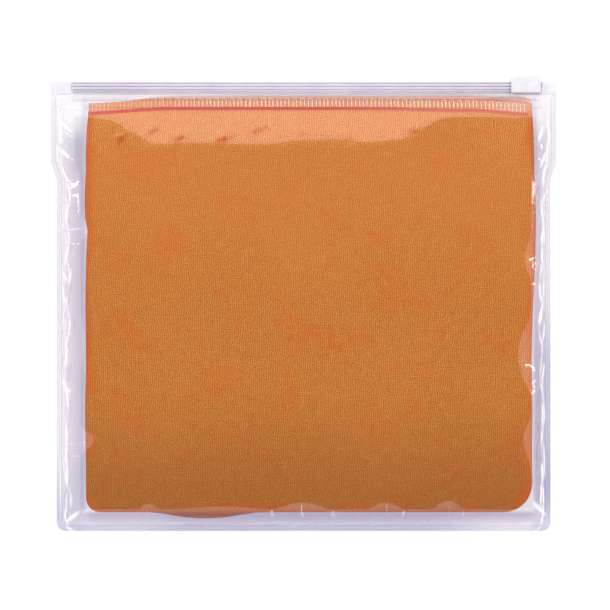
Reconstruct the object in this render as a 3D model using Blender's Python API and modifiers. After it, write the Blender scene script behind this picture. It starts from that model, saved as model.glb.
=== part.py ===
"""A folded quick dry towel in a clear zip pouch, lying on its back.

Metres, +Z up. X runs across the pouch, +Y points to the zip and the front film faces +Z. The
origin is the middle of the object's box, on the surface it lies on. Heights of the films, the zip
and the towel are all worked out from the seam plane, where the two films are welded together.
"""
import math

import bmesh
import bpy

# Towel, folded to 18 layers
TOWEL_WIDTH = 0.2465
TOWEL_HEIGHT = 0.2290        # lower fold to the fold nearest the zip
TOWEL_LAYERS = 18
LAYER_THICKNESS = 0.00115
TOWEL_PLAY = 0.0040          # how far the towel can shift to the left
TOWEL_EDGE_ROUND = 0.0060
TOWEL_EDGE_SHARE = 0.50      # thickness left at the towel's rounded edge
TOWEL_LEFT_CORNER = 0.0066
TOWEL_RIGHT_CORNER = 0.0150
HEM_THICKNESS = 0.0005
HEM_SETBACK = 0.0019         # overlocked edge below the fold behind it
HEM_WIDTH = 0.0049
HEM_LEFT_INSET = 0.0015
HEM_RIGHT_INSET = 0.0075
NEEDLE_WIDTH = 0.0007

# Pouch
LEFT_MARGIN = 0.0190         # towel to the pouch's side, across the stiff zip
RIGHT_MARGIN = 0.0125
BOTTOM_MARGIN = 0.0105
FILM_THICKNESS = 0.0003
SEAM_WIDTH = 0.0030          # welded border at the sides and the bottom
SEAM_Z = 0.0080              # height of the seam plane over the surface below
WAIST_DEPTH = 0.0032         # how far the stuffed bag pulls each side in
WAIST_START = 0.0430         # below the top edge, where the sides start to pull in
WAIST_LENGTH = 0.0120        # length over which they do
CORNER_RADIUS = 0.0050       # bottom corners of the outline
FILM_OVERREACH = 0.0022      # how far past the towel's edge the film goes on rising
TOP_SLOPE = 0.0255           # film falling from the towel to the zip
TOP_LIP = 0.0008             # flat edge of the film beside the track

# Zip
TRACK_HEIGHT = 0.0051        # both extrusions, measured down from the top edge
TRACK_HALF_DEPTH = 0.0021    # outer face of a track plate from the seam plane
PLATE_INNER = 0.0012         # inner face of a track plate from the seam plane
RIDGE_HEIGHT = 0.00025
RIDGE_WIDTH = 0.0007
RIDGE_COUNT = 3
FOOT_WIDTH = 0.0006          # lower lip of a track plate
SKIRT_THICKNESS = 0.0003
SKIRT_LENGTH = 0.0124        # from the track down to the free end of the skirt
RIB_STEM = 0.0005
RIB_HEAD = 0.0016
CLAW_WALL = 0.0005
LEFT_END_LENGTH = 0.0117
RIGHT_END_LENGTH = 0.0085
END_HALF_DEPTH = 0.0012

# Slider
SLIDER_LENGTH = 0.0162
SLIDER_OVERHANG = 0.0030     # above the top edge of the track
SLIDER_WALL = 0.0016
SLIDER_LIP = 0.0007
FINGER_DEPTH = 0.0007        # how far the finger dips between the track plates
FINGER_HALF = 0.0005

GAP = 0.0003                 # between neighbouring solids

# Worked out from the sizes above
SLIDER_LOW_DROP = TRACK_HEIGHT + GAP + SLIDER_LIP
SLOPE_TOP_DROP = SLIDER_LOW_DROP + GAP + TOP_LIP
TOWEL_TOP_DROP = SLOPE_TOP_DROP + GAP
POUCH_WIDTH = LEFT_MARGIN + TOWEL_WIDTH + RIGHT_MARGIN
POUCH_HEIGHT = BOTTOM_MARGIN + TOWEL_HEIGHT + TOWEL_TOP_DROP
LEFT_SLOPE = LEFT_MARGIN - WAIST_DEPTH - SEAM_WIDTH - TOWEL_PLAY + FILM_OVERREACH
RIGHT_SLOPE = RIGHT_MARGIN - WAIST_DEPTH - SEAM_WIDTH + FILM_OVERREACH
BOTTOM_SLOPE = BOTTOM_MARGIN - SEAM_WIDTH + FILM_OVERREACH
STUFFED_DEPTH = TOWEL_LAYERS * LAYER_THICKNESS + 2 * (GAP + FILM_THICKNESS)
SKIRT_STEP = GAP + SKIRT_THICKNESS
STACK_DEPTH = SKIRT_STEP + GAP + HEM_THICKNESS + GAP
FRONT_RISE = STUFFED_DEPTH - FILM_THICKNESS - SEAM_Z - GAP / 2
BACK_RISE = SEAM_Z - FILM_THICKNESS - GAP / 2

HALF_WIDTH = POUCH_WIDTH / 2
BOTTOM_Y = -(POUCH_HEIGHT + SLIDER_OVERHANG) / 2
TOP_Y = BOTTOM_Y + POUCH_HEIGHT
TRACK_LOW_Y = TOP_Y - TRACK_HEIGHT
SLIDER_LOW_Y = TOP_Y - SLIDER_LOW_DROP
FILM_TOP_Y = SLIDER_LOW_Y - GAP
SLOPE_TOP_Y = TOP_Y - SLOPE_TOP_DROP
SLOPE_LOW_Y = SLOPE_TOP_Y - TOP_SLOPE
SKIRT_LOW_Y = TRACK_LOW_Y - SKIRT_LENGTH
ZIP_LEFT_X = -HALF_WIDTH + LEFT_END_LENGTH
ZIP_RIGHT_X = HALF_WIDTH - RIGHT_END_LENGTH
TOWEL_LEFT_X = -HALF_WIDTH + LEFT_MARGIN
TOWEL_RIGHT_X = TOWEL_LEFT_X + TOWEL_WIDTH
TOWEL_BOTTOM_Y = BOTTOM_Y + BOTTOM_MARGIN
TOWEL_TOP_Y = TOP_Y - TOWEL_TOP_DROP
HEM_TOP_Y = TOWEL_TOP_Y - HEM_SETBACK
HEM_LOW_Y = HEM_TOP_Y - HEM_WIDTH
NEEDLE_TOP_Y = HEM_LOW_Y - GAP
NEEDLE_LOW_Y = NEEDLE_TOP_Y - NEEDLE_WIDTH

FRONT = 1
BACK = -1

# Shares of a rounded slope at which its meshes have a row, from its foot up
SLOPE_SHARES = (0.02, 0.08, 0.15, 0.22, 0.31, 0.42, 0.68, 1.0)
SIDE_SHARES = (0.08, 0.22, 0.42, 0.68, 1.0)


def clear_scene():
    for old in list(bpy.data.objects):
        bpy.data.objects.remove(old, do_unlink=True)


def material(name, colour, roughness, alpha=1.0):
    made = bpy.data.materials.new(name)
    made.use_nodes = True
    shader = made.node_tree.nodes["Principled BSDF"]
    shader.inputs["Base Color"].default_value = (*colour, 1.0)
    shader.inputs["Roughness"].default_value = roughness
    shader.inputs["Metallic"].default_value = 0.0
    shader.inputs["Alpha"].default_value = alpha
    return made


def add_object(name, bm, look, collection):
    """Turns a bmesh into a named object with its faces pointing out."""
    bmesh.ops.recalc_face_normals(bm, faces=bm.faces)
    mesh = bpy.data.meshes.new(name)
    bm.to_mesh(mesh)
    bm.free()
    mesh.materials.append(look)
    made = bpy.data.objects.new(name, mesh)
    collection.objects.link(made)
    return made


def round_edges(made, width, segments=2):
    bevel = made.modifiers.new("rounded_edges", "BEVEL")
    bevel.width = width
    bevel.segments = segments
    bevel.limit_method = "ANGLE"
    bevel.angle_limit = math.radians(40)


def rising(distance, length, power=1.5):
    """A rounded shoulder: 0 at its foot and 1 from its length on."""
    share = min(max(distance / length, 0.0), 1.0)
    return (1.0 - (1.0 - share) ** power) ** (1.0 / power)


def smooth_step(distance, length):
    share = min(max(distance / length, 0.0), 1.0)
    return share * share * (3.0 - 2.0 * share)


def corner_inset(height, radius):
    """How far a rounded corner pulls the outline in at a height above its foot."""
    short = max(radius - height, 0.0)
    return radius - math.sqrt(radius * radius - short * short)


def half_width(y):
    """Half the pouch's width, with its sides pulled in below the stiff zip."""
    waist = WAIST_DEPTH * smooth_step(TOP_Y - WAIST_START - y, WAIST_LENGTH)
    return HALF_WIDTH - waist - corner_inset(y - BOTTOM_Y, CORNER_RADIUS)


def bag_rise(x, y, full):
    """Height of a film's inner face over its seam face, for a film that rises by full."""
    edge = half_width(y) - SEAM_WIDTH
    left = rising(x + edge, LEFT_SLOPE)
    right = rising(edge - x, RIGHT_SLOPE)
    bottom = rising(y - BOTTOM_Y - SEAM_WIDTH, BOTTOM_SLOPE)
    top = rising(SLOPE_TOP_Y - y, TOP_SLOPE)
    return left * right * bottom * (SKIRT_STEP + (full - SKIRT_STEP) * top)


def film_inner(x, y, side):
    full = FRONT_RISE if side == FRONT else BACK_RISE
    return SEAM_Z + side * (GAP / 2 + bag_rise(x, y, full))


def towel_round(x, y):
    """1 over the towel's middle, falling to its edge share at the sides and the bottom."""
    left = rising(x - TOWEL_LEFT_X, TOWEL_EDGE_ROUND, 2.0)
    right = rising(TOWEL_RIGHT_X - x, TOWEL_EDGE_ROUND, 2.0)
    bottom = rising(y - TOWEL_BOTTOM_Y, TOWEL_EDGE_ROUND, 2.0)
    return TOWEL_EDGE_SHARE + (1.0 - TOWEL_EDGE_SHARE) * left * right * bottom


def towel_face(x, y, side):
    """Front or back face of the towel, which thins towards the zip under skirt and thread."""
    full = FRONT_RISE if side == FRONT else BACK_RISE
    top = rising(SLOPE_TOP_Y - y, TOP_SLOPE)
    film = SKIRT_STEP + (full - SKIRT_STEP) * top
    deep = STACK_DEPTH if side == FRONT else SKIRT_STEP + GAP
    reach = SKIRT_LOW_Y - NEEDLE_WIDTH - SLOPE_LOW_Y
    stack = GAP + (deep - GAP) * smooth_step(y - SLOPE_LOW_Y, reach)
    return SEAM_Z + side * (GAP / 2 + max(film - stack, GAP) * towel_round(x, y))


def between(low, high, count):
    """Count places evenly inside a stretch, without its ends."""
    return [low + (high - low) * (step + 1) / (count + 1) for step in range(count)]


def grid(columns, rows, place):
    """An open grid of quads whose vertex in column i and row j goes to place(i, j)."""
    bm = bmesh.new()
    bmesh.ops.create_grid(bm, x_segments=columns - 1, y_segments=rows - 1, size=1.0)
    for vert in bm.verts:
        i = round((vert.co.x + 1.0) / 2.0 * (columns - 1))
        j = round((vert.co.y + 1.0) / 2.0 * (rows - 1))
        vert.co = place(i, j)
    return bm


def layer_solid(columns, rows, place, upper, lower):
    """A closed slab over a grid of places, between two height functions of x and y."""
    bm = grid(columns, rows, lambda i, j: (*place(i, j), 0.0))
    extruded = bmesh.ops.extrude_face_region(bm, geom=bm.faces[:])
    raised = {item for item in extruded["geom"] if isinstance(item, bmesh.types.BMVert)}
    for vert in bm.verts:
        height = upper if vert in raised else lower
        vert.co.z = height(vert.co.x, vert.co.y)
    return bm


def film(name, side, look, collection):
    """One film of the pouch: a flat welded border and a pillow over the towel."""
    left = [0.0, SEAM_WIDTH, LEFT_END_LENGTH + GAP]
    left = sorted(left + [SEAM_WIDTH + LEFT_SLOPE * share for share in SIDE_SHARES])
    right = [0.0, SEAM_WIDTH, RIGHT_END_LENGTH + GAP]
    right = sorted(right + [SEAM_WIDTH + RIGHT_SLOPE * share for share in SIDE_SHARES])
    bottom = [0.0, CORNER_RADIUS / 8, SEAM_WIDTH]
    bottom += [SEAM_WIDTH + BOTTOM_SLOPE * share for share in SIDE_SHARES]
    waist_top = TOP_Y - WAIST_START
    waist_low = waist_top - WAIST_LENGTH
    ys = [BOTTOM_Y + rise for rise in bottom]
    ys += between(ys[-1], waist_low, 2) + [waist_low]
    ys += between(waist_low, waist_top, 1) + [waist_top]
    ys += [SLOPE_TOP_Y - TOP_SLOPE * share for share in reversed(SLOPE_SHARES)]
    ys += [SLOPE_TOP_Y, FILM_TOP_Y]
    inner = 4

    def place(i, j):
        y = ys[j]
        half = half_width(y)
        xs = [-half + step for step in left]
        stop = half - right[-1]
        xs += between(xs[-1], stop, inner)
        xs += [half - step for step in reversed(right)]
        return xs[i], y, film_inner(xs[i], y, side)

    bm = grid(len(left) + inner + len(right), len(ys), place)
    made = add_object(name, bm, look, collection)
    if made.data.polygons[0].normal.z * side < 0:
        made.data.flip_normals()
    wall = made.modifiers.new("film_thickness", "SOLIDIFY")
    wall.thickness = FILM_THICKNESS
    wall.offset = 1.0
    made.data.shade_smooth()
    return made


def track_outline(side):
    """The track's cross-section as (y, z) points, from the inner foot to the outer foot."""
    axis = TRACK_LOW_Y + FOOT_WIDTH + GAP + RIB_HEAD / 2 + GAP + CLAW_WALL
    stem = RIB_STEM / 2
    head = RIB_HEAD / 2
    catch = stem + GAP
    claw_in = head + GAP
    claw_out = claw_in + CLAW_WALL
    tip = PLATE_INNER - GAP
    barb = GAP / 3
    foot_y = TRACK_LOW_Y + FOOT_WIDTH
    points = [(foot_y, GAP / 2), (foot_y, PLATE_INNER)]
    if side == FRONT:
        points += [(axis - stem, PLATE_INNER), (axis - stem, -barb), (axis - head, -barb)]
        points += [(axis - stem, -tip), (axis + stem, -tip)]
        points += [(axis + head, -barb), (axis + stem, -barb), (axis + stem, PLATE_INNER)]
    else:
        hook = GAP - barb
        points += [(axis - claw_out, PLATE_INNER), (axis - claw_out, -tip), (axis - catch, -tip)]
        points += [(axis - catch, -hook), (axis - claw_in, -hook), (axis - claw_in, PLATE_INNER)]
        points += [(axis + claw_in, PLATE_INNER), (axis + claw_in, -hook), (axis + catch, -hook)]
        points += [(axis + catch, -tip), (axis + claw_out, -tip), (axis + claw_out, PLATE_INNER)]
    points += [(TOP_Y, PLATE_INNER), (TOP_Y, TRACK_HALF_DEPTH)]
    pitch = TRACK_HEIGHT / RIDGE_COUNT
    for ridge in range(RIDGE_COUNT):
        middle = TOP_Y - pitch * (ridge + 0.5)
        half = RIDGE_WIDTH / 2
        points += [(middle + half, TRACK_HALF_DEPTH)]
        points += [(middle, TRACK_HALF_DEPTH + RIDGE_HEIGHT)]
        points += [(middle - half, TRACK_HALF_DEPTH)]
    points += [(TRACK_LOW_Y, TRACK_HALF_DEPTH)]
    return points


def prism(section, low_x, high_x):
    """A (y, z) outline, with z from the seam plane, extruded along X."""
    bm = bmesh.new()
    ring = [bm.verts.new((low_x, y, SEAM_Z + z)) for y, z in section]
    extruded = bmesh.ops.extrude_face_region(bm, geom=[bm.faces.new(ring)])
    moved = [item for item in extruded["geom"] if isinstance(item, bmesh.types.BMVert)]
    bmesh.ops.translate(bm, verts=moved, vec=(high_x - low_x, 0, 0))
    return bm


def zip_profile(name, side, look, collection):
    """One zip extrusion: the track plate, and a thin skirt that follows the film."""
    skirt = [TRACK_LOW_Y, FILM_TOP_Y, SLOPE_TOP_Y]
    slope = [SLOPE_TOP_Y - TOP_SLOPE * share for share in SLOPE_SHARES]
    skirt += [y for y in slope if y > SKIRT_LOW_Y + GAP] + [SKIRT_LOW_Y]
    section = track_outline(side)
    section += [(y, GAP / 2 + SKIRT_THICKNESS) for y in skirt]
    section += [(y, GAP / 2) for y in reversed(skirt)]
    bm = prism([(y, side * z) for y, z in section], ZIP_LEFT_X + GAP, ZIP_RIGHT_X - GAP)
    left = -HALF_WIDTH + SEAM_WIDTH + LEFT_SLOPE
    right = HALF_WIDTH - SEAM_WIDTH - RIGHT_SLOPE
    for x in [left] + between(left, right, 4) + [right]:
        whole = bm.verts[:] + bm.edges[:] + bm.faces[:]
        bmesh.ops.bisect_plane(bm, geom=whole, plane_co=(x, 0, 0), plane_no=(1, 0, 0))
    for vert in bm.verts:
        if vert.co.y < SLOPE_TOP_Y + GAP:
            film = side * (film_inner(vert.co.x, vert.co.y, side) - SEAM_Z)
            vert.co.z += side * (film - GAP / 2 - SKIRT_STEP)
    return add_object(name, bm, look, collection)


def zip_end(name, low_x, high_x, look, collection):
    """Both extrusions crushed and melted together, as a stop at the end of the track."""
    bm = bmesh.new()
    bmesh.ops.create_cube(bm, size=1.0)
    low_y = TRACK_LOW_Y
    bmesh.ops.scale(bm, vec=(high_x - low_x, TOP_Y - low_y, 2 * END_HALF_DEPTH), verts=bm.verts)
    middle = ((low_x + high_x) / 2, (low_y + TOP_Y) / 2, SEAM_Z)
    bmesh.ops.translate(bm, vec=middle, verts=bm.verts)
    made = add_object(name, bm, look, collection)
    round_edges(made, END_HALF_DEPTH / 3)
    return made


def zip_slider(look, collection):
    """A saddle over the track: lips under its feet, and a finger between its plates."""
    track = TRACK_HALF_DEPTH + RIDGE_HEIGHT + GAP
    outer = track + SLIDER_WALL
    lip = GAP / 2 + SKIRT_THICKNESS + GAP
    roof = TOP_Y + GAP
    top = TOP_Y + SLIDER_OVERHANG
    half = [(roof - FINGER_DEPTH - GAP, FINGER_HALF), (roof, FINGER_HALF), (roof, track)]
    half += [(TRACK_LOW_Y - GAP, track), (TRACK_LOW_Y - GAP, lip), (SLIDER_LOW_Y, lip)]
    half += [(SLIDER_LOW_Y, outer), (top, outer)]
    section = half + [(y, -z) for y, z in reversed(half)]
    right = ZIP_RIGHT_X - GAP
    bm = prism(section, right - SLIDER_LENGTH, right)
    middle = (right - SLIDER_LENGTH / 2, TOP_Y, SEAM_Z)
    bmesh.ops.translate(bm, verts=bm.verts, vec=[-place for place in middle])
    made = add_object("zip_slider", bm, look, collection)
    made.location = middle
    round_edges(made, GAP / 2)
    return made


def towel_rows():
    """Heights of the towel's rows, with one along each edge of the hem's threads."""
    rows = [TOWEL_BOTTOM_Y + TOWEL_EDGE_ROUND * share for share in (0.0,) + SIDE_SHARES]
    rows += [TOWEL_BOTTOM_Y + TOWEL_RIGHT_CORNER]
    rows += between(rows[-1], SLOPE_LOW_Y, 2)
    slope = [SLOPE_TOP_Y - TOP_SLOPE * share for share in reversed(SLOPE_SHARES)]
    rows += [y for y in slope if y < NEEDLE_LOW_Y - GAP]
    rows += [NEEDLE_LOW_Y, NEEDLE_TOP_Y, HEM_LOW_Y, (HEM_LOW_Y + HEM_TOP_Y) / 2, HEM_TOP_Y]
    return rows + [TOWEL_TOP_Y]


def towel_insets():
    """Steps in from the towel's side to its columns, one of them at the hem's left end."""
    return sorted([TOWEL_EDGE_ROUND * share for share in (0.0,) + SIDE_SHARES] + [HEM_LEFT_INSET])


def towel_cloth(look, collection):
    """The folded towel as one plain soft block that thins towards the zip."""
    ys = towel_rows()
    insets = towel_insets()
    inner = 4

    def place(i, j):
        above = ys[j] - TOWEL_BOTTOM_Y
        low = TOWEL_LEFT_X + corner_inset(above, TOWEL_LEFT_CORNER)
        high = TOWEL_RIGHT_X - corner_inset(above, TOWEL_RIGHT_CORNER)
        xs = [low + step for step in insets]
        xs += between(xs[-1], high - insets[-1], inner)
        xs += [high - step for step in reversed(insets)]
        return xs[i], ys[j]

    bm = layer_solid(2 * len(insets) + inner, len(ys), place,
                     lambda x, y: towel_face(x, y, FRONT),
                     lambda x, y: towel_face(x, y, BACK))
    made = add_object("towel_cloth", bm, look, collection)
    made.data.shade_smooth()
    made.data.set_sharp_from_angle(angle=math.radians(60))
    return made


def hem_thread(name, ys, look, collection):
    """A strip of thread on the towel's front layer, under the skirt of the zip."""
    insets = [step for step in towel_insets() if step >= HEM_LEFT_INSET]
    xs = [TOWEL_LEFT_X + step for step in insets] + [TOWEL_RIGHT_X - HEM_RIGHT_INSET]
    bm = layer_solid(len(xs), len(ys), lambda i, j: (xs[i], ys[j]),
                     lambda x, y: towel_face(x, y, FRONT) + GAP + HEM_THICKNESS,
                     lambda x, y: towel_face(x, y, FRONT) + GAP)
    return add_object(name, bm, look, collection)


def build():
    clear_scene()
    collection = bpy.data.collections.new("quick_dry_towel")
    bpy.context.scene.collection.children.link(collection)

    film_look = material("clear_lavender_vinyl", (0.80, 0.74, 0.84), 0.12, 0.35)
    track_look = material("lavender_zip_track", (0.72, 0.65, 0.78), 0.20, 0.55)
    slider_look = material("white_slider_plastic", (0.93, 0.92, 0.94), 0.35)
    cloth_look = material("orange_ribbed_cloth", (0.58, 0.20, 0.045), 0.95)
    looper_look = material("cream_looper_thread", (0.86, 0.66, 0.54), 0.85)
    needle_look = material("orange_needle_thread", (0.72, 0.17, 0.03), 0.85)

    film("front_film", FRONT, film_look, collection)
    film("back_film", BACK, film_look, collection)
    zip_profile("zip_rib_profile", FRONT, track_look, collection)
    zip_profile("zip_claw_profile", BACK, track_look, collection)
    zip_end("zip_end_left", -HALF_WIDTH, ZIP_LEFT_X, track_look, collection)
    zip_end("zip_end_right", ZIP_RIGHT_X, HALF_WIDTH, track_look, collection)
    zip_slider(slider_look, collection)
    towel_cloth(cloth_look, collection)
    looper = [HEM_LOW_Y, (HEM_LOW_Y + HEM_TOP_Y) / 2, HEM_TOP_Y]
    hem_thread("hem_looper_thread", looper, looper_look, collection)
    hem_thread("hem_needle_thread", [NEEDLE_LOW_Y, NEEDLE_TOP_Y], needle_look, collection)


build()
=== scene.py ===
"""Looks of a folded quick dry towel in a clear zip pouch.

Metres, +Z up. X runs across the pouch, +Y points to the zip and the front film faces up.
"""
import math

import bmesh
import bpy
import numpy as np
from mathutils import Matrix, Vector, noise


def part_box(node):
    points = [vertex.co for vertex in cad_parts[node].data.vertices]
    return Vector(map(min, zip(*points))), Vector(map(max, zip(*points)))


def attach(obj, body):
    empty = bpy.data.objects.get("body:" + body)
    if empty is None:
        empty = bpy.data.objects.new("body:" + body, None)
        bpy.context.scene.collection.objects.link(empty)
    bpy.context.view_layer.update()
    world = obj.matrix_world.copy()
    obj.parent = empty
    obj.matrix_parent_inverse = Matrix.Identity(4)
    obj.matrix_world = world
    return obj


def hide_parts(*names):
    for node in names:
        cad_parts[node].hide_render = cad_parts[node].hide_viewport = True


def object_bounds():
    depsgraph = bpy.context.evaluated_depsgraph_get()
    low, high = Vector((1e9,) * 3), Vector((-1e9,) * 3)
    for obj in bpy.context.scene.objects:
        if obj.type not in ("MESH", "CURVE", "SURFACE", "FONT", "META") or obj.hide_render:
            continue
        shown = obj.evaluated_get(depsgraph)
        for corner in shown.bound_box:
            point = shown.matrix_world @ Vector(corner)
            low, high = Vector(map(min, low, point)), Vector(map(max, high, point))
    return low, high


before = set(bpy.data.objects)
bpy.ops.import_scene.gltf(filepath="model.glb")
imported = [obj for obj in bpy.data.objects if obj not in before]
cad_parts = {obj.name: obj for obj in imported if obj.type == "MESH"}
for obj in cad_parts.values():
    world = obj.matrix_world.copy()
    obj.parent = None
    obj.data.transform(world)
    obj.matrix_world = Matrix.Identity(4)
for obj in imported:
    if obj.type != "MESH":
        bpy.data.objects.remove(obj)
cad_low, cad_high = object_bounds()

MM = 0.001
GAP = 0.3 * MM

# Places of the CAD pieces
FRONT_LOW, FRONT_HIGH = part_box("front_film")
BACK_LOW, BACK_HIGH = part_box("back_film")
TOWEL_LOW, TOWEL_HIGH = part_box("towel_cloth")
TRACK_LOW, TRACK_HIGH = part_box("zip_rib_profile")
SLIDER_LOW, SLIDER_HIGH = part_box("zip_slider")
HEM_LOW, HEM_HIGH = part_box("hem_looper_thread")
NEEDLE_LOW, NEEDLE_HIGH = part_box("hem_needle_thread")

# Pouch, as in the CAD films
SEAM_Z = (FRONT_LOW.z + BACK_HIGH.z) / 2
FILM = 0.3 * MM
HALF_WIDTH = FRONT_HIGH.x
BOTTOM_Y = FRONT_LOW.y
TOP_Y = TRACK_HIGH.y
FILM_TOP_Y = FRONT_HIGH.y
SEAM_WIDTH = 3.0 * MM
WAIST_DEPTH = 3.2 * MM
WAIST_START = 43.0 * MM
WAIST_LENGTH = 12.0 * MM
CORNER_RADIUS = 5.0 * MM
LEFT_SLOPE = 11.0 * MM
RIGHT_SLOPE = 8.5 * MM
BOTTOM_SLOPE = 9.7 * MM
TOP_SLOPE = 25.5 * MM
TOP_LIP = 0.8 * MM
TRACK_HEIGHT = 5.1 * MM
TRACK_RIDGES = 3
SLOPE_TOP_Y = FILM_TOP_Y - TOP_LIP
SKIRT_STEP = 0.6 * MM
FRONT_RISE = FRONT_HIGH.z - FILM - FRONT_LOW.z
BACK_RISE = BACK_HIGH.z - FILM - BACK_LOW.z
SKIRT_LOW_Y = TRACK_LOW.y
# Heights of the two faint lines where a skirt is welded to the film
SKIRT_LINES = (111.7 * MM, 107.3 * MM)

# How far the film's features stand out of it
GATHER_LIFT = 0.9 * MM
LOW_GATHER_LIFT = 0.6 * MM
CREASE_LIFT = 0.55 * MM
RIM_LIFT = 0.12 * MM
SKIRT_LINE_LIFT = 0.14 * MM
BAND_LIFT = 0.25 * MM
SWELLING_LIFT = 0.5 * MM

# Grid of a film: steps over a weld, and how far the fine bands reach in from each edge
WELD_STEPS = [step * MM for step in (0.0, 0.35, 0.6, 0.85, 1.6, 2.35, 2.6, 2.85)]
LEFT_BAND = 17 * MM
RIGHT_BAND = 13 * MM
BOTTOM_BAND = 13 * MM
UPPER_BAND_Y = 84 * MM
# Foot of the frosted band of film under the zip
ZIP_BAND_Y = 112.4 * MM

# Where the front film starts to fall to the zip: places along X, and the height of each
FALL_X = (-119, -105, -98, -91.6, -83.3, -64, -52, -36, -19, -7, 15, 34, 50, 56, 60, 66, 71,
          80, 103, 119, 132)
FALL_Y = (103.3, 101.6, 97.5, 92.8, 86.8, 87.8, 87.9, 87.2, 86.8, 88.9, 90.1, 87.9, 89.5,
          90.1, 92.8, 97.0, 100.5, 103.3, 103.3, 102.7, 103.8)
# Swellings of the film on that fall: middle X, middle Y, half length
SWELLINGS = ((-67, 93, 5), (-44, 92, 6), (-23, 97, 6), (1, 95, 5), (27, 93, 4), (61, 96, 5),
             (-100, 91, 5), (-82, 95, 3))
# Slack places at the sides and the bottom: middle, half length, how much longer the fall is
LEFT_SLACK = ((-75, 9, 0.6), (41, 8, 0.35), (-20, 22, 0.2))
RIGHT_SLACK = ((25, 16, 0.3), (-28, 26, 0.7), (-75, 18, 0.35))
BOTTOM_SLACK = ((-85, 4, 0.35), (-45, 30, 0.12), (-1, 16, 0.40), (45, 9, 0.4), (79, 7, 0.55))
# Sharp single creases in the front film: ends of each, and its width
CREASES = ((-137, 104, -125, 92, 0.8), (-135, 86, -127, 79, 0.8), (-131, 107.5, -119, 106.5, 0.6),
           (-130.5, -120, -122, -113, 0.85), (124.5, -108, 134, -117, 0.9),
           (131, 98, 128, 88, 0.8), (133, 84, 129, 74, 0.7), (134, 64, 130.5, 55, 0.7),
           (131.5, -75, 132.5, -98, 0.5), (-133, -83, -133, -117, 0.5),
           (-134, 20, -128, 11, 0.7), (-134, -40, -127, -50, 0.7))
# How far the towel's sides come in from straight: height, left side, right side
SIDE_Y = (-112, -90, -60, -30, 0, 20, 38, 44, 48, 60, 70, 84, 98, 107)
LEFT_IN = (1.0, 0.8, 0.3, 0.9, 0.5, 0.8, 1.6, 1.9, 0.0, 0.0, 0.7, 0.8, 1.3, 2.2)
RIGHT_IN = (0.6, 1.4, 1.2, 1.5, 0.9, -0.4, -0.8, -0.8, -0.8, -0.6, -0.2, 0.3, 0.6, 1.2)

# Towel
LAYERS_ACROSS = 3
LAYERS_ALONG = 6
TOWEL_DEPTH = TOWEL_HIGH.z - TOWEL_LOW.z
LAYER_PITCH = TOWEL_DEPTH / (LAYERS_ACROSS * LAYERS_ALONG)
STRIP_DEPTH = LAYERS_ACROSS * LAYER_PITCH
CLOTH = 0.86 * LAYER_PITCH
HEM_SETBACK = TOWEL_HIGH.y - HEM_HIGH.y
HEM_THICKNESS = 0.5 * MM
HEM_START = HEM_LOW.x + 0.8 * MM
STITCH_PITCH = 2.15 * MM
TOWEL_SHIFT = 4.0 * MM
# Reach of one of the cloth's wide cells
CELL_X = 3 * MM
CELL_Y = 2.5 * MM
LOOP_RADIUS = 0.29 * MM
LOOP_REACH = 4.3 * MM
LOOP_END_X = TOWEL_HIGH.x - 2.6 * MM
NEEDLE_RADIUS = 0.4 * MM
NEEDLE_END_X = TOWEL_HIGH.x - 2.0 * MM
NEEDLE_ROW = 0.45 * MM
EDGE_ROUND = 6 * MM
RIB_PITCH = 1.12 * MM
COURSE_PITCH = 0.95 * MM
LEFT_CORNER = 8.5 * MM
RIGHT_CORNER = 18 * MM
# Sag of the towel's lower edge: middle, half length, how fast it fades, and depth
SAG_X = -54 * MM
SAG_HALF = 31 * MM
SAG_FADE = 27 * MM
SAG_DEPTH = 3.3 * MM

# Camera: its height over the pouch, and the width it sees in widths of the pouch
EYE_HEIGHT = 2.0
VIEW_WIDTH = 1.2068

FRONT = 1
BACK = -1


# ---------------------------------------------------------------- small maths

def clip01(values):
    return np.clip(values, 0.0, 1.0)


def rising(distance, length, power=1.5):
    """A rounded shoulder: 0 at its foot and 1 from its length on."""
    share = clip01(distance / length)
    return (1.0 - (1.0 - share) ** power) ** (1.0 / power)


def smooth_step(distance, length):
    share = clip01(distance / length)
    return share * share * (3.0 - 2.0 * share)


def hump(distance, half):
    """A smooth bump of height 1 at distance 0, gone at half its full width."""
    share = clip01(1.0 - np.abs(distance) / half)
    return share * share * (3.0 - 2.0 * share)


def perlin(x, y, scale_x, scale_y, seed):
    """Smooth noise about 0 over a plane, with its own wavelengths along X and Y."""
    points = zip(np.ravel(x) / scale_x, np.ravel(y) / scale_y)
    values = [noise.noise(Vector((a, b, seed))) for a, b in points]
    return np.array(values).reshape(np.shape(x))


def spread(low, high, step):
    """Even places from low up to, but without, high, about a step apart."""
    return list(np.linspace(low, high, max(2, round((high - low) / step) + 1))[:-1])


# ------------------------------------------------------------- shape of a bag

def corner_inset(height, radius):
    short = np.clip(radius - height, 0.0, radius)
    return radius - np.sqrt(radius * radius - short * short)


def half_width(y):
    waist = WAIST_DEPTH * smooth_step(TOP_Y - WAIST_START - y, WAIST_LENGTH)
    return HALF_WIDTH - waist - corner_inset(y - BOTTOM_Y, CORNER_RADIUS)


def top_slope(x):
    """Length of the film's fall to the zip: long in the middle, short at both ends."""
    places = np.array(FALL_X) * MM
    heights = np.array(FALL_Y) * MM
    near = sum(np.interp(x + step, places, heights) for step in (-1.5 * MM, 0, 1.5 * MM)) / 3
    return SLOPE_TOP_Y - near + 1.2 * MM


def slack(along, places):
    """How much longer than usual the fall to a seam is, by the place along the seam."""
    longer = np.ones_like(along)
    for middle, half, amount in places:
        longer += amount * hump(along - middle * MM, half * MM)
    return longer


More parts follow.
